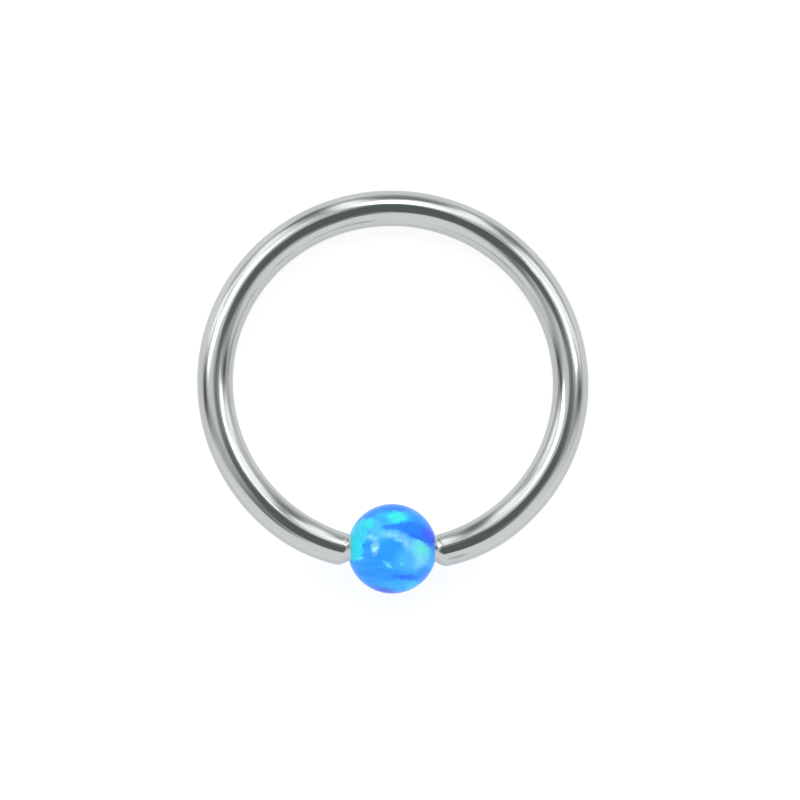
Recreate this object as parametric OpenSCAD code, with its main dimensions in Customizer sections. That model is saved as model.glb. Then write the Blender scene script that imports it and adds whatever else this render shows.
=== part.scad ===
// Captive bead ring: an open ring of round steel wire whose two domed ends sit in
// the dimples of an opal bead. It is drawn lying on its side, as it rests by itself:
// the bead's foot and the far side of the wire touch the surface below.

/* [Ring] */
// Thickness of the round wire
wire_d = 1.6; // [1.2:0.1:2.4]
// Clear width inside the ring
inside_d = 14.3; // [8:0.1:22]
// Height of the dome on each end of the wire
dome_h = 0.44; // [0.3:0.02:0.6]

/* [Bead] */
// Width of the bead
bead_d = 4; // [3:0.1:8]
// Depth of the dimple on each side of the bead
dimple_depth = 0.38; // [0.2:0.02:0.6]
// Clearance between a dome and its dimple
seat_gap = 0.05; // [0.02:0.01:0.1]

/* [Hidden] */
$fn = 96;

// Radii of the wire, of the circle that the wire's axis follows, and of the bead
wire_r = wire_d / 2;
bend_r = inside_d / 2 + wire_r;
bead_r = bead_d / 2;

// Each dome is the cap of a ball whose centre is on the wire's axis, this far back
// from the dome's foot. Its dimple is a slightly larger ball about the same centre.
dome_r = (wire_r * wire_r + dome_h * dome_h) / (2 * dome_h);
dome_back = dome_r - dome_h;
dimple_r = dome_r + seat_gap;

// Distance from the bead's centre to each ball's centre, on the axis it spins about
seat_x = bead_r - dimple_depth + dimple_r;
// Angle about the ring's centre from the middle of the gap to the foot of a dome,
// chosen so that the wire's axis runs through the ball's centre
end_angle = asin(seat_x / norm([bend_r, dome_back])) - atan(dome_back / bend_r);
// Distance from the ring's centre to the bead's centre
bead_offset = bend_r * cos(end_angle) - dome_back * sin(end_angle);

// The bead is thicker than the wire, so the ring leans as it lies
lean = asin((bead_r - wire_r) / (bend_r + bead_offset));
rest_height = wire_r + bend_r * sin(lean);
// Shift along Y that puts the origin under the middle of the whole
rest_shift = (bead_offset * cos(lean) + bead_r - bend_r * cos(lean) - wire_r) / 2;

// Lays down what is drawn flat about the ring's centre
module lying() {
    translate([0, rest_shift, rest_height]) rotate([-lean, 0, 0]) children();
}

// Places what is drawn about the bead's centre
module at_bead() {
    translate([0, -bead_offset, 0]) children();
}

// The ball on each side of the bead that shapes a dome or a dimple
module end_balls(r) {
    for (side = [-1, 1])
        translate([side * seat_x, 0, 0]) rotate([0, 90, 0]) sphere(r = r);
}

// One length of wire, bent into a ring. It is bent a little further than it reaches,
// and all that is outside the balls is cut away across the gap.
module ring() {
    color("silver") lying() difference() {
        rotate_extrude(angle = 360 - end_angle, start = end_angle / 2 - 90)
            translate([bend_r, 0]) circle(r = wire_r);
        at_bead() difference() {
            cube(2 * seat_x, center = true);
            end_balls(dome_r);
        }
    }
}

// Round bead, held by its two dimples and free to spin between the domes
module bead() {
    color("dodgerblue") lying() at_bead() difference() {
        rotate([0, 90, 0]) sphere(r = bead_r);
        end_balls(dimple_r);
    }
}

ring();
bead();
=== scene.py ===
# %% [markdown]
# # Dressing a captive bead ring
# The real thing is one length of polished surgical steel wire, bent into an open ring,
# and a small blue opal bead that the two wire ends pinch between them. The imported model
# already says how large each piece is and where it lies. This lesson gives both pieces
# their smooth surfaces and their finish, and then lights them as a small product shot.

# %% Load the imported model
import math

import bmesh
import bpy
from mathutils import Matrix, Vector


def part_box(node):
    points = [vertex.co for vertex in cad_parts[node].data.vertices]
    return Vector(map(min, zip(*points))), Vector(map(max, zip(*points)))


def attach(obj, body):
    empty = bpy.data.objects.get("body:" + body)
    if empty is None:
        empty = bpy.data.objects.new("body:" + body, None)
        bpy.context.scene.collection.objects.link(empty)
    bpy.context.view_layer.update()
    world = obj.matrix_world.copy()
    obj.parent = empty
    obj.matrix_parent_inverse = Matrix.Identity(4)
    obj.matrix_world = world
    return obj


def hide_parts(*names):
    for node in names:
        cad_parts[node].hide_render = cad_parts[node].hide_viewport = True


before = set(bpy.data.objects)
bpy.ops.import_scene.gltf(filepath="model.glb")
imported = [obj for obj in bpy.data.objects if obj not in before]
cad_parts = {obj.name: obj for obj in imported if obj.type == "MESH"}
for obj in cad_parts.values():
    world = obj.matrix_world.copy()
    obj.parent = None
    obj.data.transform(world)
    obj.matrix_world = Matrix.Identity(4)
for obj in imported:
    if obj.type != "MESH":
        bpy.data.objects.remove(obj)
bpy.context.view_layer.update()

MM = 0.001               # one millimetre, in Blender's metres
for name in sorted(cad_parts):
    low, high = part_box(name)
    print(name, "reaches from", [round(value / MM, 3) for value in low], "to",
          [round(value / MM, 3) for value in high], "mm")

# %% [markdown]
# ## The sizes behind the shape
# Every piece follows from a handful of sizes: the wire, the clear width inside the
# ring, the bead, and the dome on each wire end with the dimple it sits in. Each dome
# and its dimple are two balls about one centre, a hair apart, so the bead can spin.
# The rest is worked out, in metres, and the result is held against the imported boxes.

# %% Sizes of the ring and the bead
wire_r = 1.6 * MM / 2
bend_r = 14.3 * MM / 2 + wire_r          # half the clear width, and on to the wire's middle
dome_h = 0.44 * MM
bead_r = 4.0 * MM / 2
dimple_depth = 0.38 * MM
seat_gap = 0.05 * MM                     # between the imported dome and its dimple

dome_r = (wire_r ** 2 + dome_h ** 2) / (2 * dome_h)
dome_back = dome_r - dome_h
dimple_r = dome_r + seat_gap
seat_x = bead_r - dimple_depth + dimple_r
end_angle = math.asin(seat_x / math.hypot(bend_r, dome_back)) - math.atan(dome_back / bend_r)
bead_offset = bend_r * math.cos(end_angle) - dome_back * math.sin(end_angle)
print("a wire end stands", round(math.degrees(end_angle), 2), "degrees from the middle of the gap")

# %% How the ring lies
# The bead is thicker than the wire, so the ring leans on it. One matrix lays down
# whatever is drawn flat about the ring's centre.
lean = math.asin((bead_r - wire_r) / (bend_r + bead_offset))
rest_height = wire_r + bend_r * math.sin(lean)
rest_shift = (bead_offset * math.cos(lean) + bead_r - bend_r * math.cos(lean) - wire_r) / 2
lying = Matrix.Translation((0, rest_shift, rest_height)) @ Matrix.Rotation(-lean, 4, "X")
ring_centre = lying @ Vector((0, 0, 0))
bead_centre = lying @ Vector((0, -bead_offset, 0))
print("the ring leans", round(math.degrees(lean), 2), "degrees")

# %% [markdown]
# ## The viewing angle
# The photograph looks almost straight down on the ring through a long lens. The ring's
# plane is turned 10.8 degrees away from the picture, which makes a circle look slightly
# narrow across one slanting line. Part of that is the ring's own lean; the rest places
# the camera. The camera could be placed last, but the opal's pattern is laid out for
# this view, so its turn is worked out here.

# %% Work out the camera's turn
# Seen from this direction, the ring's circle is as narrow as in the photograph, and
# narrow the same way.
to_camera = Vector((-0.0463, -0.1049, 0.9934)).normalized()
bead_left_px = 0.78                      # the bead's middle from the ring's, in the photograph
bead_down_px = 164.47
roll = math.atan2(bead_left_px, bead_down_px)
to_bead = (bead_centre - ring_centre).normalized()
flat_to_bead = (to_bead - to_bead.dot(to_camera) * to_camera).normalized()
picture_up = Matrix.Rotation(roll, 3, to_camera) @ -flat_to_bead
picture_right = picture_up.cross(to_camera)
camera_turn = Matrix((picture_right, picture_up, to_camera)).transposed()
print("picture up is", [round(value, 3) for value in picture_up])


# %% [markdown]
# ## Two helpers
# Colours are written as they are seen on a screen, in hex, and a shader wants them
# linear, so one function converts them. Another adds one node to any tree, sets what
# it is told to and links what it is given, so that a tree reads from top to bottom.

# %% A colour helper and a node helper
def linear(hex_colour, alpha=1.0):
    """Turns a screen colour such as #3C9FFF into linear light."""
    shown = [int(hex_colour[i:i + 2], 16) / 255 for i in (1, 3, 5)]
    light = [value / 12.92 if value <= 0.04045 else ((value + 0.055) / 1.055) ** 2.4
             for value in shown]
    return (*light, alpha)


def add(tree, kind, inputs=None, **settings):
    """Adds one node with its settings, and fills or links its inputs by name or number.

    A node that is given as an input stands for the first of its outputs that is in use.
    """
    made = tree.nodes.new(kind)
    for name, value in settings.items():
        setattr(made, name, value)
    for key, value in (inputs or {}).items():
        if isinstance(value, bpy.types.Node):
            value = next(socket for socket in value.outputs if socket.enabled)
        if isinstance(value, bpy.types.NodeSocket):
            tree.links.new(value, made.inputs[key])
        else:
            made.inputs[key].default_value = value
    return made


print("middle grey on a screen is", round(linear("#808080")[0], 3), "in linear light")

# %% [markdown]
# ## Polished surgical steel
# Surgical steel is drawn as wire and then polished on soft wheels until it is a
# slightly cool mirror. The polishing runs along the wire, so what it mirrors is drawn
# out into faint lengthwise lines, and it leaves broad shallow waves as well. The domed
# ends are turned instead, which leaves them satin. An anisotropic shader could smear
# the reflections along the wire, but it would show no single line. So a plain metal
# with a low roughness does most of it, and two noises stretched along the wire, one
# fine and one broad, move its roughness and a very shallow bump. The real lines are
# finer than a pixel; these are 0.1 mm wide so that they show.

# %% Sizes of the polishing lines
line_width = 0.10 * MM
line_length = 4 * MM
line_depth = 0.008 * MM
wave_width = 0.5 * MM
wave_length = 6 * MM
wave_depth = 0.018 * MM
LEAST_ROUGH = 0.08
MOST_ROUGH = 0.15
SATIN_ROUGH = 0.25
print("a line is", round(line_length / line_width), "times as long as it is wide")

# %% Material for the wire
steel = bpy.data.materials.new("polished_surgical_steel")
steel.use_nodes = True
tree = steel.node_tree
tree.nodes.clear()
lay = add(tree, "ShaderNodeAttribute", attribute_name="wire_lay", attribute_type="GEOMETRY")
fine = add(tree, "ShaderNodeMapping", {
    "Vector": lay.outputs["Vector"],
    "Scale": (1 / line_width, 1 / line_width, 1 / line_length)})
lines = add(tree, "ShaderNodeTexNoise", {
    "Vector": fine, "Scale": 1.0, "Detail": 2.0, "Roughness": 0.45})
broad = add(tree, "ShaderNodeMapping", {
    "Vector": lay.outputs["Vector"],
    "Scale": (1 / wave_width, 1 / wave_width, 1 / wave_length)})
waves = add(tree, "ShaderNodeTexNoise", {"Vector": broad, "Scale": 1.0, "Detail": 0.0})
sheen = add(tree, "ShaderNodeMapRange", {
    "Value": lines.outputs["Fac"], "From Min": 0.3, "From Max": 0.7,
    "To Min": LEAST_ROUGH, "To Max": MOST_ROUGH})
turned_end = add(tree, "ShaderNodeAttribute", attribute_name="turned_end", attribute_type="GEOMETRY")
rough = add(tree, "ShaderNodeMix", {
    "Factor": turned_end.outputs["Fac"], "A": sheen, "B": SATIN_ROUGH}, data_type="FLOAT")
wavy = add(tree, "ShaderNodeBump", {
    "Height": waves.outputs["Fac"], "Distance": wave_depth, "Strength": 1.0})
lined = add(tree, "ShaderNodeBump", {
    "Height": lines.outputs["Fac"], "Distance": line_depth, "Strength": 1.0, "Normal": wavy})
metal = add(tree, "ShaderNodeBsdfPrincipled", {
    "Base Color": linear("#BEC1C1"), "Metallic": 1.0, "Roughness": rough, "Normal": lined})
add(tree, "ShaderNodeOutputMaterial", {"Surface": metal})
print("steel has", len(tree.nodes), "nodes")

# %% [markdown]
# ## Blue synthetic opal
# Synthetic opal is grown in layers of tiny glass balls. They split the light, so one
# bead shows azure, teal and violet patches with ragged edges, in flat layers. All of
# it lies under a clear polish. Noise alone would give such colours in places of its
# own, so the patches that face the picture are ellipses charted one by one, which one
# noise makes ragged, and noise and cells fill the rest. The pattern is drawn on Object
# coordinates, centred on the bead, in units of its radius and turned so that X and Y
# run across the picture. Its sizes are real ones, divided into that radius.

# %% Opal coordinates
ragged_width = 0.25 * MM
ragged_reach = 0.28 * MM
FRONT_FADE = 0.15                        # how gently the front gives way, in bead radii
opal = bpy.data.materials.new("blue_synthetic_opal")
opal.use_nodes = True
tree = opal.node_tree
tree.nodes.clear()
place = add(tree, "ShaderNodeTexCoord")
on_bead = add(tree, "ShaderNodeMapping", {
    "Vector": place.outputs["Object"], "Location": bead_centre,
    "Rotation": camera_turn.to_euler(), "Scale": (bead_r,) * 3}, vector_type="TEXTURE")
wobble = add(tree, "ShaderNodeTexNoise", {
    "Vector": on_bead, "Scale": bead_r / ragged_width, "Detail": 3.0, "Roughness": 0.6})
centred = add(tree, "ShaderNodeVectorMath", {
    0: wobble.outputs["Color"], 1: (0.5, 0.5, 0.5)}, operation="SUBTRACT")
ragged = add(tree, "ShaderNodeVectorMath", {
    0: centred, 1: (ragged_reach / bead_r,) * 3, 2: on_bead}, operation="MULTIPLY_ADD")
depth = add(tree, "ShaderNodeSeparateXYZ", {"Vector": on_bead})
front = add(tree, "ShaderNodeMapRange", {
    "Value": depth.outputs["Z"], "From Min": -FRONT_FADE, "From Max": FRONT_FADE},
    interpolation_type="SMOOTHSTEP")
print("a patch's edge is moved by up to", round(ragged_reach / 2 / MM, 2), "mm")

# %% Opal layers
# Long flat layers of lighter and deeper azure run through the whole bead.
layer_length = 2.86 * MM
layer_thickness = 0.625 * MM
flat = add(tree, "ShaderNodeMapping", {
    "Vector": ragged,
    "Scale": (bead_r / layer_length, bead_r / layer_thickness, bead_r / layer_length)})
layers = add(tree, "ShaderNodeTexNoise", {
    "Vector": flat, "Scale": 1.0, "Detail": 2.0, "Roughness": 0.5})
azure = add(tree, "ShaderNodeValToRGB", {"Fac": layers.outputs["Fac"]})
for position, shade in ((0.30, "#2C8EFF"), (0.5, "#36A2FF"), (0.70, "#48B6FF")):
    stop = azure.color_ramp.elements.new(position)
    stop.color = linear(shade)
azure.color_ramp.elements.remove(azure.color_ramp.elements[0])
azure.color_ramp.elements.remove(azure.color_ramp.elements[-1])
print("the layers have", len(azure.color_ramp.elements), "shades of azure")

# %% Opal cells round the back
# The side that the photograph hides has cells of the same colours, in no set place.
cell_length = 1.333 * MM
cell_thickness = 0.769 * MM
CELL_STRENGTH = 0.75
CELL_SHIFT = (0.3, 0.1, 0.7)
cell_way = add(tree, "ShaderNodeMapping", {
    "Vector": ragged, "Location": CELL_SHIFT,
    "Scale": (bead_r / cell_length, bead_r / cell_thickness, bead_r / cell_length)})
cells = add(tree, "ShaderNodeTexVoronoi", {"Vector": cell_way, "Scale": 1.0})
cell_number = add(tree, "ShaderNodeSeparateColor", {"Color": cells.outputs["Color"]})
cell_colour = add(tree, "ShaderNodeValToRGB", {"Fac": cell_number.outputs["Red"]})
cell_colour.color_ramp.interpolation = "CONSTANT"
cell_stops = (("#2C8EFF", 0.0), ("#46D7E2", 0.24), ("#36A2FF", 0.40), ("#4A74FF", 0.58),
              ("#48E8E4", 0.70), ("#48B6FF", 0.80), ("#74D2F8", 0.90))
for shade, position in cell_stops:
    stop = cell_colour.color_ramp.elements.new(position)
    stop.color = linear(shade)
cell_colour.color_ramp.elements.remove(cell_colour.color_ramp.elements[-1])
hidden = add(tree, "ShaderNodeMath", {0: CELL_STRENGTH, 1: front}, operation="SUBTRACT", use_clamp=True)
backed = add(tree, "ShaderNodeMix", {
    "Factor": hidden, "A": azure.outputs["Color"], "B": cell_colour.outputs["Color"]},
    data_type="RGBA")
print("the cells have", len(cell_stops), "colours")


# %% A soft ellipse
# The opal's patches and the tent's are both of this kind, so one function draws them.
def soft_ellipse(tree, name, soft, vector, turn, half_sizes, middle=(0, 0, 0)):
    """A share that is 1 inside an ellipse and 0 outside, and changes over its soft edge."""
    spot = add(tree, "ShaderNodeMapping", {
        "Vector": vector, "Location": middle, "Rotation": turn, "Scale": half_sizes},
        vector_type="TEXTURE", label=name)
    reach = add(tree, "ShaderNodeVectorMath", {0: spot}, operation="LENGTH")
    return add(tree, "ShaderNodeMapRange", {
        "Value": reach, "From Min": 1 + soft, "From Max": 1 - soft},
        interpolation_type="SMOOTHSTEP")


# %% Opal patches
# Each patch has its middle and its half width and height in bead radii, its turn in
# degrees, how soft its edge is, and its colour. All were set from the
# photograph, and so were the highlights and flecks.
patches = [
    ("pale shoulder", -0.34, 0.47, 0.17, 0.24, 20, 0.50, "#4CC2FF"),
    ("crescent top", -0.57, 0.57, 0.17, 0.13, 25, 0.25, "#3CE0EA"),
    ("crescent middle", -0.76, 0.30, 0.19, 0.30, -22, 0.25, "#38D2F2"),
    ("crescent foot", -0.84, 0.00, 0.20, 0.26, 0, 0.15, "#30D8F0"),
    ("top streak", -0.10, 0.78, 0.26, 0.07, 20, 0.50, "#3CB4FF"),
    ("top flash halo", 0.08, 0.70, 0.32, 0.18, -12, 0.50, "#40C0FF"),
    ("top flash", 0.11, 0.72, 0.21, 0.13, -22, 0.35, "#3CEAEA"),
    ("under the flash", 0.06, 0.49, 0.28, 0.07, 0, 0.40, "#3088FF"),
    ("right flash", 0.56, -0.14, 0.28, 0.33, 15, 0.30, "#5CC0FF"),
    ("right flash heart", 0.58, -0.14, 0.14, 0.28, 10, 0.70, "#7CD0FF"),
    ("right flash crown", 0.65, 0.02, 0.16, 0.19, -15, 0.95, "#64E6E0"),
    ("deep blue", 0.50, 0.42, 0.40, 0.17, -16, 0.30, "#2A82FF"),
    ("violet edge", 0.83, 0.27, 0.15, 0.24, 28, 0.50, "#4268FF"),
    ("flash border", 0.66, 0.225, 0.34, 0.04, -24, 0.50, "#2474F0"),
    ("dark layer", 0.40, -0.62, 0.46, 0.06, -3, 0.50, "#327CFF"),
    ("azure layer", 0.15, -0.80, 0.42, 0.07, 4, 0.50, "#3EB0FF"),
    ("low right spot", 0.44, -0.80, 0.13, 0.08, 20, 0.60, "#3CC0F0"),
    # Bottom violet and the three patches after it make the bead a deeper blue near its rim.
    ("bottom violet", -0.20, -0.95, 0.40, 0.09, -10, 0.80, "#4664E0"),
    ("top blue", 0.02, 0.92, 0.50, 0.09, 0, 0.70, "#3086F6"),
    ("upper left blue", -0.48, 0.80, 0.22, 0.08, 35, 0.60, "#3890F8"),
    ("low right blue", 0.70, -0.56, 0.20, 0.16, 40, 0.60, "#3492FA"),
    ("plain heart", 0.02, -0.02, 0.24, 0.24, 0, 0.40, "#309CFF"),
    ("pale heart", 0.30, -0.22, 0.20, 0.20, 0, 0.60, "#4AB6FF"),
]
# The first five are painted highlights, where the arch's lamps show in the polish; the last three are
# small pale spots lower down.
highlights_and_flecks = [
    ("left fleck", -0.38, 0.07, 0.06, 0.15, -8, 0.80, "#B0FAFF"),
    ("left fleck top", -0.47, 0.26, 0.10, 0.06, 0, 0.80, "#84DCFF"),
    ("heart rim", 0.02, 0.32, 0.22, 0.07, -4, 0.80, "#84D6FF"),
    ("heart rim spark", 0.17, 0.21, 0.08, 0.03, 0, 0.60, "#80F0FF"),
    ("right fleck", 0.30, 0.17, 0.08, 0.15, 20, 0.90, "#84CCFF"),
    ("low fleck", -0.10, -0.33, 0.11, 0.03, -40, 0.60, "#70E0FF"),
    ("low right fleck", 0.22, -0.33, 0.06, 0.03, -20, 0.60, "#70E0FF"),
    ("crescent foot spark", -0.72, -0.20, 0.10, 0.03, 10, 0.60, "#5CDCFF"),
]
# A fine noise, for the opal's crystals, makes each painted highlight and each pale spot uneven.
crystal_width = 0.222 * MM
crystals = add(tree, "ShaderNodeTexNoise", {
    "Vector": on_bead, "Scale": bead_r / crystal_width, "Detail": 1.0, "Roughness": 0.5})
broken = add(tree, "ShaderNodeMapRange", {
    "Value": crystals.outputs["Fac"], "From Min": 0.35, "From Max": 0.6,
    "To Min": 0.35, "To Max": 1.0})
WHOLE = 1.0
RIGHT_THROUGH = 100                      # a half depth in bead radii, so that depth doesn't count
colour = backed
for spots, strength in ((patches, WHOLE), (highlights_and_flecks, broken)):
    for name, across, up, half_w, half_h, turn, soft, shade in spots:
        inside = soft_ellipse(tree, name, soft, ragged, (0, 0, math.radians(turn)),
                              (half_w, half_h, RIGHT_THROUGH), (across, up, 0))
        facing = add(tree, "ShaderNodeMath", {0: inside, 1: front}, operation="MULTIPLY")
        shown = add(tree, "ShaderNodeMath", {0: facing, 1: strength}, operation="MULTIPLY")
        colour = add(tree, "ShaderNodeMix", {
            "Factor": shown, "A": colour, "B": linear(shade)}, data_type="RGBA")
print("opal has", len(patches), "patches and", len(highlights_and_flecks), "highlights_and_flecks")

# %% Opal glints
# Single grains of the opal flash pale aqua. They are about 0.07 mm across, and show
# most where the colour is already green rather than blue.
grain_spacing = 0.154 * MM
glinting_share = 0.28
grains = add(tree, "ShaderNodeTexVoronoi", {"Vector": on_bead, "Scale": bead_r / grain_spacing})
grain = add(tree, "ShaderNodeMapRange", {
    "Value": grains.outputs["Distance"], "From Min": 0.34, "From Max": 0.12},
    interpolation_type="SMOOTHSTEP")
grain_number = add(tree, "ShaderNodeSeparateColor", {"Color": grains.outputs["Color"]})
few = add(tree, "ShaderNodeMath", {
    0: grain_number.outputs["Red"], 1: 1 - glinting_share}, operation="GREATER_THAN")
green = add(tree, "ShaderNodeSeparateColor", {"Color": colour})
greenish = add(tree, "ShaderNodeMapRange", {
    "Value": green.outputs["Green"], "From Min": 0.45, "From Max": 0.75, "To Min": 0.0, "To Max": 0.6})
lively = add(tree, "ShaderNodeMath", {0: grain, 1: few}, operation="MULTIPLY")
glint = add(tree, "ShaderNodeMath", {0: lively, 1: greenish}, operation="MULTIPLY")
sparkled = add(tree, "ShaderNodeMix", {
    "Factor": glint, "A": colour, "B": linear("#A4F6FF")}, data_type="RGBA")
print("one grain in", round(1 / glinting_share, 1), "can glint")

# %% Opal shader
# The stone is given a painted glow in its own colours, which stands for light that scatters about inside
# it.
OPAL_PAINTED_GLOW = 0.14
stone = add(tree, "ShaderNodeBsdfPrincipled", {
    "Base Color": sparkled, "Roughness": 0.07, "IOR": 1.42, "Specular IOR Level": 0.12,
    "Emission Color": sparkled, "Emission Strength": OPAL_PAINTED_GLOW})
add(tree, "ShaderNodeOutputMaterial", {"Surface": stone})
print("opal has", len(tree.nodes), "nodes")

# %% [markdown]
# ## The wire
# The wire follows a rule: a circle swept along an arc, with a domed cap on each end.
# That could be a curve with a bevel, but the caps would have to be added by hand. In
# Geometry Nodes, the arc becomes the tube, and the same arc's two end points each get
# a copy of one dome. The dome is a grid wrapped round its own axis: a ball's crown,
# and round its foot the broad curve that polishing has given the edge.

# %% Sizes of the wire's ends
# The real wire pinches the bead, so here the dome almost touches its dimple.
pinch_gap = 0.01 * MM
foot_round = 0.42 * MM
collar = 0.03 * MM
seated_r = dimple_r - pinch_gap
round_back = math.sqrt((seated_r - foot_round) ** 2 - (wire_r - foot_round) ** 2)
crown_angle = math.asin((wire_r - foot_round) / (seated_r - foot_round))
ball_back = round_back - collar
arc_end = math.asin(seat_x / math.hypot(bend_r, ball_back)) - math.atan(ball_back / bend_r)
print("the dome's crown reaches", round(math.degrees(crown_angle), 1), "degrees from its tip")

# %% Sizes of the wear
# The wire is worn thinner towards its ends, and the outer side of each dome's foot is
# bevelled. Each of the two has a length over which it fades out on the dome.
thinned = 0.13 * MM
thinned_length = 3.0 * MM
fade_length = 0.45 * MM
bevel_depth = 0.30 * MM
bevel_length = 0.40 * MM
bevel_fade = 0.20 * MM
print("the wear reaches back", round(thinned_length / MM, 2), "mm")

# %% A tree for the wire
wire_tree = bpy.data.node_groups.new("bent_wire_with_domes", "GeometryNodeTree")
wire_inputs = {
    "Bend Radius": bend_r, "Wire Radius": wire_r, "Arc End": arc_end, "Dome Radius": seated_r,
    "Foot Round": foot_round, "Round Back": round_back, "Crown Angle": crown_angle,
    "Collar": collar, "Thinned": thinned, "Thinned Length": thinned_length,
    "Fade Length": fade_length, "Bevel Depth": bevel_depth, "Bevel Length": bevel_length,
    "Bevel Fade": bevel_fade}
for name in wire_inputs:
    wire_tree.interface.new_socket(name, in_out="INPUT", socket_type="NodeSocketFloat")
wire_tree.interface.new_socket("Finish", in_out="INPUT", socket_type="NodeSocketMaterial")
wire_tree.interface.new_socket("Geometry", in_out="OUTPUT", socket_type="NodeSocketGeometry")
given = add(wire_tree, "NodeGroupInput").outputs
print("the wire's tree takes", len(wire_inputs), "sizes")

# %% The bent tube
# The arc leaves out the gap, which lies at the foot of the circle.
SIDES = 96
BEND_STEPS = 288
QUARTER_TURN = math.pi / 2
FULL_TURN = 2 * math.pi
start = add(wire_tree, "ShaderNodeMath", {0: given["Arc End"], 1: QUARTER_TURN}, operation="SUBTRACT")
sweep = add(wire_tree, "ShaderNodeMath", {
    0: given["Arc End"], 1: -2.0, 2: FULL_TURN}, operation="MULTIPLY_ADD")
arc = add(wire_tree, "GeometryNodeCurveArc", {
    "Resolution": BEND_STEPS + 1, "Radius": given["Bend Radius"], "Start Angle": start,
    "Sweep Angle": sweep}, mode="RADIUS")
section = add(wire_tree, "GeometryNodeCurvePrimitiveCircle", {
    "Resolution": SIDES, "Radius": given["Wire Radius"]}, mode="RADIUS")
tube = add(wire_tree, "GeometryNodeCurveToMesh", {"Curve": arc, "Profile Curve": section})
print("the tube has", SIDES * BEND_STEPS, "faces")

# %% The angles on one dome
# Across the grid runs the angle round the wire, and up it the angle of the surface's
# normal from the wire's axis: 0 at the tip of the dome, 90 degrees where it joins the
# tube. One more row past 90 degrees makes a short straight collar, so that smooth
# shading doesn't smear the edge over the first long stretch of tube.
DOME_STEPS = 30
grid = add(wire_tree, "GeometryNodeMeshGrid", {
    "Size X": 1.0, "Size Y": 1.0, "Vertices X": SIDES + 1, "Vertices Y": DOME_STEPS + 2})
cell = add(wire_tree, "ShaderNodeSeparateXYZ", {"Vector": grid.outputs["UV Map"]})
about = add(wire_tree, "ShaderNodeMath", {0: cell.outputs["X"], 1: FULL_TURN}, operation="MULTIPLY")
row = add(wire_tree, "ShaderNodeMath", {0: cell.outputs["Y"], 1: DOME_STEPS + 1}, operation="MULTIPLY")
slope = add(wire_tree, "ShaderNodeMath", {0: row, 1: QUARTER_TURN / DOME_STEPS}, operation="MULTIPLY")
slope = add(wire_tree, "ShaderNodeMath", {0: slope, 1: QUARTER_TURN}, operation="MINIMUM")
past_foot = add(wire_tree, "ShaderNodeMath", {0: row, 1: DOME_STEPS}, operation="SUBTRACT")
past_foot = add(wire_tree, "ShaderNodeMath", {0: past_foot, 1: 0.0}, operation="MAXIMUM")
straight = add(wire_tree, "ShaderNodeMath", {0: past_foot, 1: given["Collar"]}, operation="MULTIPLY")
print("each dome has", SIDES * (DOME_STEPS + 1), "faces")

# %% The outline of one dome
# The crown is part of a ball about the dome's own centre. From the crown's edge on,
# the outline follows a smaller circle, whose middle stands out to the side and nearer
# the tip.
on_crown = add(wire_tree, "ShaderNodeMath", {0: slope, 1: given["Crown Angle"]}, operation="LESS_THAN")
ledge = add(wire_tree, "ShaderNodeMath", {
    0: given["Wire Radius"], 1: given["Foot Round"]}, operation="SUBTRACT")
ball = add(wire_tree, "GeometryNodeSwitch", {
    "Switch": on_crown, "False": given["Foot Round"], "True": given["Dome Radius"]},
    input_type="FLOAT")
inset = add(wire_tree, "GeometryNodeSwitch", {
    "Switch": on_crown, "False": ledge, "True": 0.0}, input_type="FLOAT")
back = add(wire_tree, "GeometryNodeSwitch", {
    "Switch": on_crown, "False": given["Round Back"], "True": 0.0}, input_type="FLOAT")
sine = add(wire_tree, "ShaderNodeMath", {0: slope}, operation="SINE")
cosine = add(wire_tree, "ShaderNodeMath", {0: slope}, operation="COSINE")
from_axis = add(wire_tree, "ShaderNodeMath", {0: ball, 1: sine, 2: inset}, operation="MULTIPLY_ADD")
on_axis = add(wire_tree, "ShaderNodeMath", {0: ball, 1: cosine, 2: back}, operation="MULTIPLY_ADD")
on_axis = add(wire_tree, "ShaderNodeMath", {0: on_axis, 1: straight}, operation="SUBTRACT")
print("the smaller circle's middle is", round(round_back / MM, 3), "mm nearer the tip")

# %% Wrap the grid round the dome's axis
about_cosine = add(wire_tree, "ShaderNodeMath", {0: about}, operation="COSINE")
about_sine = add(wire_tree, "ShaderNodeMath", {0: about}, operation="SINE")
dome_x = add(wire_tree, "ShaderNodeMath", {0: from_axis, 1: about_cosine}, operation="MULTIPLY")
dome_y = add(wire_tree, "ShaderNodeMath", {0: from_axis, 1: about_sine}, operation="MULTIPLY")
wrapped = add(wire_tree, "ShaderNodeCombineXYZ", {"X": dome_x, "Y": dome_y, "Z": on_axis})
crown = add(wire_tree, "GeometryNodeStoreNamedAttribute", {
    "Geometry": grid.outputs["Mesh"], "Name": "turned_end", "Value": on_crown},
    data_type="FLOAT", domain="POINT")
shaped = add(wire_tree, "GeometryNodeSetPosition", {"Geometry": crown, "Position": wrapped})
dome = add(wire_tree, "GeometryNodeFlipFaces", {"Mesh": shaped})
print("the tube and one dome take", len(wire_tree.nodes), "nodes")

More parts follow.
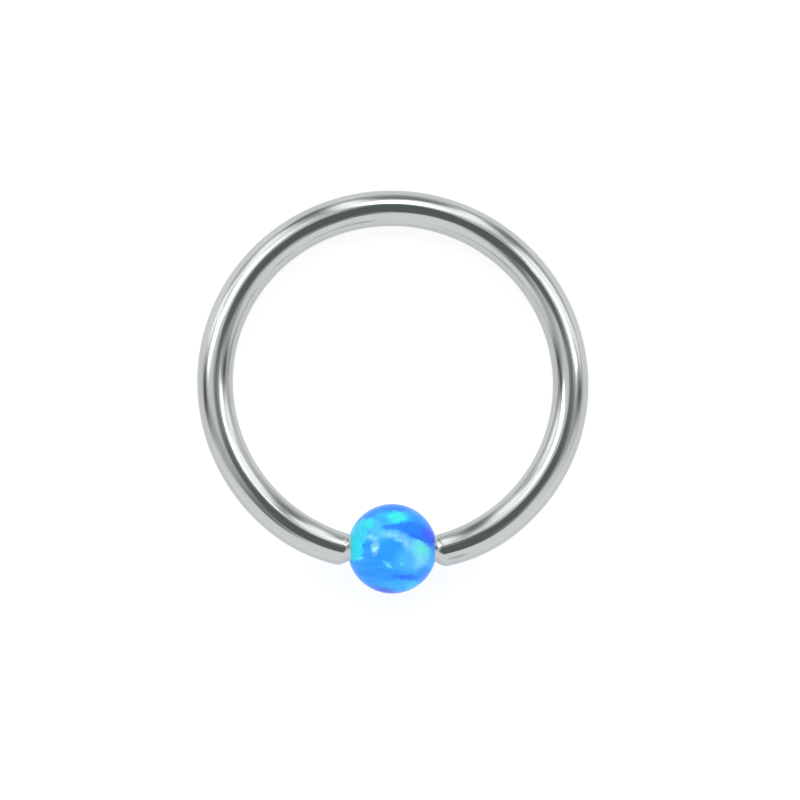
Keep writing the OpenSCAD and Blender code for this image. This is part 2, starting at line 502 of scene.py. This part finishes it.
# %% A dome on each end of the arc
# The tangent points into the wire at the arc's start and out of it at its end, so the
# first one is turned round. Each dome's ball sits a little way back from the arc's end.
tangent = add(wire_tree, "GeometryNodeInputTangent")
first = add(wire_tree, "GeometryNodeCurveEndpointSelection", {"Start Size": 1, "End Size": 0})
outward_sign = add(wire_tree, "ShaderNodeMath", {0: first, 1: -2.0, 2: 1.0}, operation="MULTIPLY_ADD")
outward = add(wire_tree, "ShaderNodeVectorMath", {
    0: tangent, "Scale": outward_sign}, operation="SCALE")
facing_out = add(wire_tree, "FunctionNodeAlignRotationToVector", {
    "Vector": outward}, axis="Z", pivot_axis="AUTO")
level = add(wire_tree, "FunctionNodeAlignRotationToVector", {
    "Rotation": facing_out, "Vector": (0, 0, 1)}, axis="X", pivot_axis="Z")
ends = add(wire_tree, "GeometryNodeCurveEndpointSelection", {"Start Size": 1, "End Size": 1})
placed = add(wire_tree, "GeometryNodeInstanceOnPoints", {
    "Points": arc, "Selection": ends, "Instance": dome, "Rotation": level})
pull = add(wire_tree, "ShaderNodeMath", {0: given["Collar"], 1: given["Round Back"]}, operation="SUBTRACT")
pulled = add(wire_tree, "ShaderNodeCombineXYZ", {"Z": pull})
seated = add(wire_tree, "GeometryNodeTranslateInstances", {
    "Instances": placed, "Translation": pulled})
print("each crown's ball has its middle", round(ball_back / MM, 3), "mm back from the arc's end")

# %% Join and merge
merge_distance = 0.002 * MM
joined = add(wire_tree, "GeometryNodeJoinGeometry")
for part in (tube.outputs["Mesh"], seated.outputs["Instances"]):
    wire_tree.links.new(part, joined.inputs["Geometry"])
whole = add(wire_tree, "GeometryNodeRealizeInstances", {"Geometry": joined})
closed = add(wire_tree, "GeometryNodeMergeByDistance", {"Geometry": whole, "Distance": merge_distance})
print("points closer than", round(merge_distance / MM, 4), "mm become one")

# %% Mark the lengthwise direction
# Every point learns where it is on the wire: its two distances across the section and
# its length along the bend from the far side, so that the count only jumps in the gap.
# The polishing lines read that.
here = add(wire_tree, "GeometryNodeInputPosition")
axes = add(wire_tree, "ShaderNodeSeparateXYZ", {"Vector": here})
x, y, z = (axes.outputs[axis] for axis in "XYZ")
squared = add(wire_tree, "ShaderNodeMath", {0: y, 1: y}, operation="MULTIPLY")
squared = add(wire_tree, "ShaderNodeMath", {0: x, 1: x, 2: squared}, operation="MULTIPLY_ADD")
radius = add(wire_tree, "ShaderNodeMath", {0: squared}, operation="SQRT")
across = add(wire_tree, "ShaderNodeMath", {0: radius, 1: given["Bend Radius"]}, operation="SUBTRACT")
angle = add(wire_tree, "ShaderNodeMath", {0: x, 1: y}, operation="ARCTAN2")
length = add(wire_tree, "ShaderNodeMath", {0: angle, 1: given["Bend Radius"]}, operation="MULTIPLY")
laid = add(wire_tree, "ShaderNodeCombineXYZ", {"X": across, "Y": z, "Z": length})
marked = add(wire_tree, "GeometryNodeStoreNamedAttribute", {
    "Geometry": closed, "Name": "wire_lay", "Value": laid}, data_type="FLOAT_VECTOR", domain="POINT")
print("the length counts up to", round((math.pi - arc_end) * bend_r / MM, 2), "mm each way")

# %% How near the end a point is
# The length before the arc's end is less than 0 on the dome. The outer share runs from
# 0 on the side towards the ring's middle to 1 on the side away from it.
half_turn = add(wire_tree, "ShaderNodeMath", {0: math.pi, 1: given["Arc End"]}, operation="SUBTRACT")
longest = add(wire_tree, "ShaderNodeMath", {0: half_turn, 1: given["Bend Radius"]}, operation="MULTIPLY")
along = add(wire_tree, "ShaderNodeMath", {0: length}, operation="ABSOLUTE")
before = add(wire_tree, "ShaderNodeMath", {0: longest, 1: along}, operation="SUBTRACT")
in_radii = add(wire_tree, "ShaderNodeMath", {0: across, 1: given["Wire Radius"]}, operation="DIVIDE")
outer_share = add(wire_tree, "ShaderNodeMath", {0: in_radii, 1: 0.5, 2: 0.5}, operation="MULTIPLY_ADD")
print("the arc ends", round(math.degrees(arc_end), 2), "degrees from the middle of the gap")

# %% Thin the ends on their outer side
# Polishing has worn the last few millimetres of the wire a little thinner, on the side
# away from the ring's middle. The wear fades out again on the dome, so that the dome
# still fits its dimple. Each share is kept between 0 and 1 by its node's own clamp.
thinning = add(wire_tree, "ShaderNodeMath", {0: before, 1: given["Thinned Length"]}, operation="DIVIDE")
near_end = add(wire_tree, "ShaderNodeMath", {0: 1.0, 1: thinning}, operation="SUBTRACT", use_clamp=True)
fading = add(wire_tree, "ShaderNodeMath", {0: before, 1: given["Fade Length"]}, operation="DIVIDE")
off_dome = add(wire_tree, "ShaderNodeMath", {0: 1.0, 1: fading}, operation="ADD", use_clamp=True)
wear = near_end
for factor in (near_end, given["Thinned"], outer_share, off_dome):
    wear = add(wire_tree, "ShaderNodeMath", {0: wear, 1: factor}, operation="MULTIPLY")
print("the wear takes up to", round(thinned / MM, 2), "mm")

# %% Bevel the outer side of the dome's foot
# The bevel deepens over the first part of the dome and fades out after it. The outer
# share's third power keeps it to the outer side.
past_end = add(wire_tree, "ShaderNodeMath", {0: before, 1: -1.0}, operation="MULTIPLY")
rising = add(wire_tree, "ShaderNodeMath", {
    0: past_end, 1: given["Bevel Length"]}, operation="DIVIDE", use_clamp=True)
bevel_end = add(wire_tree, "ShaderNodeMath", {
    0: given["Bevel Length"], 1: given["Bevel Fade"]}, operation="ADD")
left_over = add(wire_tree, "ShaderNodeMath", {0: bevel_end, 1: past_end}, operation="SUBTRACT")
falling = add(wire_tree, "ShaderNodeMath", {
    0: left_over, 1: given["Bevel Fade"]}, operation="DIVIDE", use_clamp=True)
outermost = add(wire_tree, "ShaderNodeMath", {0: outer_share, 1: 3.0}, operation="POWER")
bevel = rising
for factor in (falling, given["Bevel Depth"], outermost):
    bevel = add(wire_tree, "ShaderNodeMath", {0: bevel, 1: factor}, operation="MULTIPLY")
print("the bevel is over", round((bevel_length + bevel_fade) / MM, 2), "mm past the arc's end")

# %% Move the surface inwards
removed = add(wire_tree, "ShaderNodeMath", {0: wear, 1: bevel}, operation="ADD")
inward = add(wire_tree, "ShaderNodeMath", {0: removed, 1: -1.0}, operation="MULTIPLY")
inward = add(wire_tree, "ShaderNodeMath", {0: inward, 1: radius}, operation="DIVIDE")
inward_x = add(wire_tree, "ShaderNodeMath", {0: x, 1: inward}, operation="MULTIPLY")
inward_y = add(wire_tree, "ShaderNodeMath", {0: y, 1: inward}, operation="MULTIPLY")
moved = add(wire_tree, "ShaderNodeCombineXYZ", {"X": inward_x, "Y": inward_y})
worn = add(wire_tree, "GeometryNodeSetPosition", {"Geometry": marked, "Offset": moved})
smooth = add(wire_tree, "GeometryNodeSetShadeSmooth", {"Geometry": worn})
finished = add(wire_tree, "GeometryNodeSetMaterial", {"Geometry": smooth, "Material": given["Finish"]})
add(wire_tree, "NodeGroupOutput", {"Geometry": finished})
print("the wire's tree has", len(wire_tree.nodes), "nodes")

# %% Run the tree and keep its result as a plain mesh
maker = bpy.data.objects.new("wire_maker", bpy.data.meshes.new("wire_maker"))
bpy.context.collection.objects.link(maker)
modifier = maker.modifiers.new("wire", "NODES")
modifier.node_group = wire_tree
sockets = {item.name: item.identifier for item in wire_tree.interface.items_tree
           if item.in_out == "INPUT"}
for name, value in wire_inputs.items():
    modifier[sockets[name]] = value
modifier[sockets["Finish"]] = steel
made = maker.evaluated_get(bpy.context.evaluated_depsgraph_get())
wire_mesh = bpy.data.meshes.new_from_object(made)
bpy.data.objects.remove(maker)
wire_mesh.name = "bent_wire"
wire_mesh.transform(lying)
wire = bpy.data.objects.new("bent_wire", wire_mesh)
bpy.context.collection.objects.link(wire)
print("the wire has", len(wire_mesh.vertices), "points")


# %% Check the wire
def report(piece, node):
    """Prints a piece's triangles and volume, and how far its box is from its node's."""
    corners = [[pick(vertex.co[axis] for vertex in piece.data.vertices) / MM for axis in range(3)]
               for pick in (min, max)]
    packed = [[value / MM for value in corner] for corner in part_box(node)]
    most = max(abs(ours - cad) for pair in zip(corners, packed) for ours, cad in zip(*pair))
    shell = bmesh.new()
    shell.from_mesh(piece.data)
    open_edges = sum(not edge.is_manifold for edge in shell.edges)
    print(piece.name, "has", sum(len(face.verts) - 2 for face in shell.faces), "triangles,",
          open_edges, "open edges,", round(shell.calc_volume(signed=True) / MM ** 3, 3),
          "cubic mm, and its box is within", round(most, 4), "mm of its node's")
    shell.free()


report(wire, "ring")

# %% [markdown]
# ## The bead
# A bead is ground as a ball and then drilled on both sides with a round tool. It has
# one axis, so half its outline is drawn and spun about that axis, like turning it on
# a lathe. Cutting two balls out of a third would also do, but it leaves ragged faces
# round the rims. The outline runs from the bottom of one dimple over its rim and round
# the ball to the other dimple. A spun shape may come out inside out, so its double
# points are merged and then its normals are worked out afresh.

# %% Where the rim's round touches
# The rim's round is a small ball inside the bead that touches both surfaces.
rim_round = 0.04 * MM
near = bead_r - rim_round
far = dimple_r + rim_round
rim_x = (seat_x ** 2 + near ** 2 - far ** 2) / (2 * seat_x)
rim_out = math.sqrt(near ** 2 - rim_x ** 2)
ball_limit = math.atan2(rim_out, rim_x)
dimple_limit = math.atan2(rim_out, seat_x - rim_x)
print("a dimple is", round(2 * rim_out / MM, 2), "mm across")


# %% The bead's half outline
def arc_points(centre_x, centre_out, radius, first_angle, last_angle, steps):
    """Points on an arc of the half outline, as distances along and out from the axis."""
    turn = (last_angle - first_angle) / steps
    return [(centre_x + radius * math.cos(first_angle + turn * step),
             centre_out + radius * math.sin(first_angle + turn * step)) for step in range(steps + 1)]


BALL_STEPS = 64
DIMPLE_STEPS = 14
RIM_STEPS = 6
dimple = arc_points(seat_x, 0, dimple_r, math.pi, math.pi - dimple_limit, DIMPLE_STEPS)
rim = arc_points(rim_x, rim_out, rim_round, -dimple_limit, ball_limit, RIM_STEPS)
ball_half = arc_points(0, 0, bead_r, ball_limit, QUARTER_TURN, BALL_STEPS // 2)
half = dimple + rim[1:] + ball_half[1:]
outline = half + [(-along, out) for along, out in reversed(half[:-1])]
print("the bead's outline has", len(outline), "points")

# %% Spin the outline into a bead
AROUND = 128
turned = bmesh.new()
points = [turned.verts.new((along, out, 0)) for along, out in outline]
edges = [turned.edges.new(pair) for pair in zip(points, points[1:])]
bmesh.ops.spin(turned, geom=points + edges, axis=(1, 0, 0), cent=(0, 0, 0),
               angle=FULL_TURN, steps=AROUND, use_merge=True)
bmesh.ops.remove_doubles(turned, verts=turned.verts, dist=merge_distance)
bmesh.ops.recalc_face_normals(turned, faces=turned.faces)
bead_mesh = bpy.data.meshes.new("opal_bead")
turned.to_mesh(bead_mesh)
turned.free()
bead_mesh.transform(lying @ Matrix.Translation((0, -bead_offset, 0)))
bead_mesh.polygons.foreach_set("use_smooth", [True] * len(bead_mesh.polygons))
bead_mesh.materials.append(opal)
bead = bpy.data.objects.new("opal_bead", bead_mesh)
bpy.context.collection.objects.link(bead)
# The photograph's steel shows no blue in its reflections, so the mirror skips the bead.
bead.visible_glossy = False
report(bead, "bead")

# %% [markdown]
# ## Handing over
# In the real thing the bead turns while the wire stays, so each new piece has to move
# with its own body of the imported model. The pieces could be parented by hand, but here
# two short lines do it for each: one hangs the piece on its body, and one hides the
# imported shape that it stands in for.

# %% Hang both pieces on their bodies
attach(wire, "ring")
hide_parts("ring")
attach(bead, "bead")
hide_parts("bead")
print(wire.name, "stands in for the ring and", bead.name, "for the bead")

# %% [markdown]
# ## Floor, room and lights
# Polished wire shows its surroundings and little else, so the surroundings are the
# real finish of the picture. This is a light tent on a light table: a white floor with
# a little light of its own, cloth walls that are light in front and behind and grey at
# the sides, the dark opening that the camera looks through, and an arch of soft lamps
# above that opening. A picture of a room could be wrapped round the world, but here
# each light and each shade is an ellipse with a name, so one can be moved by itself.
# Places on the tent are two angles from the camera's line, in degrees: to the picture's
# right, and up.

# %% Floor
# The table is a sheet of white acrylic with lamps under it. Seen straight on it is
# plain white. The steel sees the same sheet at a slant, where it gives less light and
# its gloss shows, so reflections get a second, slightly darker and glossier finish.
FLOOR_HALF = 0.9                         # metres
TABLE_LIGHT = 0.8
SLANT_LIGHT = 0.53
floor_mesh = bpy.data.meshes.new("floor")
floor_mesh.from_pydata(
    [(-FLOOR_HALF, -FLOOR_HALF, 0), (FLOOR_HALF, -FLOOR_HALF, 0),
     (FLOOR_HALF, FLOOR_HALF, 0), (-FLOOR_HALF, FLOOR_HALF, 0)], [], [(0, 1, 2, 3)])
acrylic = bpy.data.materials.new("white_light_table")
acrylic.use_nodes = True
tree = acrylic.node_tree
tree.nodes.clear()
lit_sheet = add(tree, "ShaderNodeBsdfPrincipled", {
    "Base Color": linear("#959595"), "Roughness": 0.9,
    "Emission Color": linear("#FFFFFF"), "Emission Strength": TABLE_LIGHT})
slant_sheet = add(tree, "ShaderNodeBsdfPrincipled", {
    "Base Color": linear("#BCBCBC"), "Roughness": 0.3,
    "Emission Color": linear("#FFFFFF"), "Emission Strength": SLANT_LIGHT})
path = add(tree, "ShaderNodeLightPath")
either = add(tree, "ShaderNodeMixShader", {
    "Fac": path.outputs["Is Camera Ray"], 1: slant_sheet, 2: lit_sheet})
add(tree, "ShaderNodeOutputMaterial", {"Surface": either})
floor_mesh.materials.append(acrylic)
floor = bpy.data.objects.new("floor", floor_mesh)
bpy.context.collection.objects.link(floor)
print("the floor is", round(2 * FLOOR_HALF, 2), "m wide")


# %% Places on the tent
def tent_frame(right, up, turn):
    """The axes of a place on the tent: its long way, its short way and outwards."""
    off = math.radians(math.hypot(right, up))
    side = camera_turn @ Vector((right, up, 0)).normalized()
    outward = to_camera * math.cos(off) + side * math.sin(off)
    swing = to_camera.rotation_difference(outward).to_matrix()
    return swing @ camera_turn @ Matrix.Rotation(math.radians(turn), 3, "Z")


print("a place 90 degrees up lies along", [round(value, 2) for value in tent_frame(0, 90, 0).col[2]])

# %% Shades on the tent's walls
# Each patch of the wall has its middle, half its length and width and its turn in
# degrees, how soft its edge is, and its light. They were set until the steel
# showed about the same bands as in the photograph: the arch and its glows between the
# lamps, dark strips beside and behind them, and the spokes that hold the arch.
wall_patches = [
    ("dim left", -47, -2, 24, 12, -18, 0.5, (0.58, 0.60, 0.60)),
    ("dim right", 46, 8, 20, 12, 0, 0.5, (0.50, 0.52, 0.52)),
    ("dim low left", -25, -17, 16, 9, 0, 0.5, (0.20, 0.21, 0.21)),
    ("grey left", -70, 17, 20, 15, 25, 0.5, (0.24, 0.25, 0.25)),
    ("grey right", 65, 17, 20, 9, -10, 0.5, (0.25, 0.26, 0.26)),
    ("grey back", 5, 76, 50, 17, 0, 0.5, (0.48, 0.49, 0.49)),
    ("arch", -2, 36, 58, 12, 0, 0.5, (0.95, 0.95, 0.95)),
    ("dark left", -72, 13, 13, 6, 30, 0.5, (0.08, 0.09, 0.09)),
    ("dark right", 62, 15, 12, 4.5, -10, 0.5, (0.12, 0.13, 0.13)),
    ("left glow", -54, 43, 17, 7, 22, 0.5, (1.5, 1.5, 1.5)),
    ("left streak", -28, 55, 17, 8, -52, 0.5, (1.5, 1.5, 1.5)),
    ("back left glow", -6, 62, 19, 5, -76, 0.5, (1.6, 1.6, 1.6)),
    ("back glow", 6, 46, 12, 10, 90, 0.5, (1.6, 1.6, 1.6)),
    ("back right glow", 23, 56, 19, 5, 68, 0.5, (1.5, 1.5, 1.5)),
    ("right glow", 40, 42, 14, 9, 30, 0.5, (1.5, 1.5, 1.5)),
    ("right tail", 58, 35, 14, 6, -25, 0.5, (1.45, 1.45, 1.45)),
    ("dark back", 9, 73, 13, 9, 90, 0.5, (0.26, 0.27, 0.27)),
    ("left spoke", -3, 42, 22, 1.6, -66, 0.7, (0.40, 0.41, 0.41)),
    ("left spoke foot", -24, 75, 22, 5.5, -60, 0.6, (0.22, 0.23, 0.23)),
    ("right spoke", 20, 39, 20, 1.5, 50, 0.7, (0.38, 0.39, 0.39)),
    ("right spoke foot", 40, 64, 18, 5, 52, 0.6, (0.30, 0.31, 0.31)),
    ("opening", 8, -3, 32, 27, 0, 0.16, (0.138, 0.159, 0.159)),
]
print("the tent has", len(wall_patches), "patches")

# %% The tent as a world
# The plain cloth runs from the back wall's light to the front wall's, and the patches
# are laid on it in turn. A patch also falls on the opposite side of the world, where
# the floor hides nearly all of it.
FRONT_WALL = 1.0
BACK_WALL = 0.85
TENT_LIGHT = 1.12
ANY_DISTANCE = 1000                      # a half depth that never counts
world = bpy.data.worlds.new("light_tent")
bpy.context.scene.world = world
world.use_nodes = True
tree = world.node_tree
tree.nodes.clear()
way = add(tree, "ShaderNodeTexCoord").outputs["Generated"]
to_front = add(tree, "ShaderNodeVectorMath", {0: way, 1: -picture_up}, operation="DOT_PRODUCT")
light = add(tree, "ShaderNodeMapRange", {
    "Value": to_front, "From Min": 0.0, "From Max": 0.5, "To Min": BACK_WALL, "To Max": FRONT_WALL},
    interpolation_type="SMOOTHSTEP")
for name, right, up, half_long, half_wide, turn, soft, shade in wall_patches:
    half_sizes = (math.sin(math.radians(half_long)), math.sin(math.radians(half_wide)), ANY_DISTANCE)
    inside = soft_ellipse(tree, name, soft, way, tent_frame(right, up, turn).to_euler(), half_sizes)
    light = add(tree, "ShaderNodeMix", {
        "Factor": inside, "A": light, "B": (*shade, 1)}, data_type="RGBA")
glow = add(tree, "ShaderNodeBackground", {"Color": light, "Strength": TENT_LIGHT})
add(tree, "ShaderNodeOutputWorld", {"Surface": glow})
print("the tent has", len(tree.nodes), "nodes")

# %% Lamps of the arch
# Each lamp has its middle, half its length and width and its turn, as the patches do.
# A lamp's power grows with its area, so that all of them look equally bright.
LAMP_DISTANCE = 0.35                     # metres
LAMP_LIGHT = 2.1
lamps = [
    ("left_lamp", -28, 31, 22, 5, 15),
    ("back_lamp", 6, 44, 11, 3.5, 90),
    ("right_lamp", 31, 28, 16, 4.5, -10),
]
for name, right, up, half_long, half_wide, turn in lamps:
    stand = tent_frame(right, up, turn)
    lamp = bpy.data.lights.new(name, "AREA")
    lamp.shape = "ELLIPSE"
    lamp.size = 2 * LAMP_DISTANCE * math.tan(math.radians(half_long))
    lamp.size_y = 2 * LAMP_DISTANCE * math.tan(math.radians(half_wide))
    lamp.energy = LAMP_LIGHT * lamp.size * lamp.size_y * math.pi
    holder = bpy.data.objects.new(name, lamp)
    holder.matrix_world = Matrix.Translation(
        ring_centre + stand.col[2] * LAMP_DISTANCE) @ stand.to_4x4()
    bpy.context.collection.objects.link(holder)
    print(name, "is", round(lamp.size / MM), "by", round(lamp.size_y / MM), "mm")

# %% [markdown]
# ## Camera
# A long lens keeps the ring's circle even. The ring sits a little off the middle of the
# photograph. A lens shift could put it there too, but the camera is aimed a little
# right of the ring's centre and below it instead, which needs no shift.

# %% Camera
PICTURE_PX = 800
PX_PER_MM = 22.39
RING_PX = (393.0, 382.6)                 # the ring's centre in the photograph, right and down
LENS_MM = 400
SENSOR_MM = 36
pixel = MM / PX_PER_MM
view_width = PICTURE_PX * pixel
distance = view_width * LENS_MM / SENSOR_MM
aim = (ring_centre + picture_right * (PICTURE_PX / 2 - RING_PX[0]) * pixel
       - picture_up * (PICTURE_PX / 2 - RING_PX[1]) * pixel)
lens = bpy.data.cameras.new("camera")
lens.lens = LENS_MM
lens.sensor_width = SENSOR_MM
lens.clip_start = distance / 10
lens.clip_end = distance * 10
camera = bpy.data.objects.new("camera", lens)
camera.matrix_world = Matrix.Translation(aim + to_camera * distance) @ camera_turn.to_4x4()
bpy.context.collection.objects.link(camera)
bpy.context.scene.camera = camera
bpy.context.scene.view_settings.view_transform = "Standard"
print("the camera stands", round(distance / MM), "mm away")
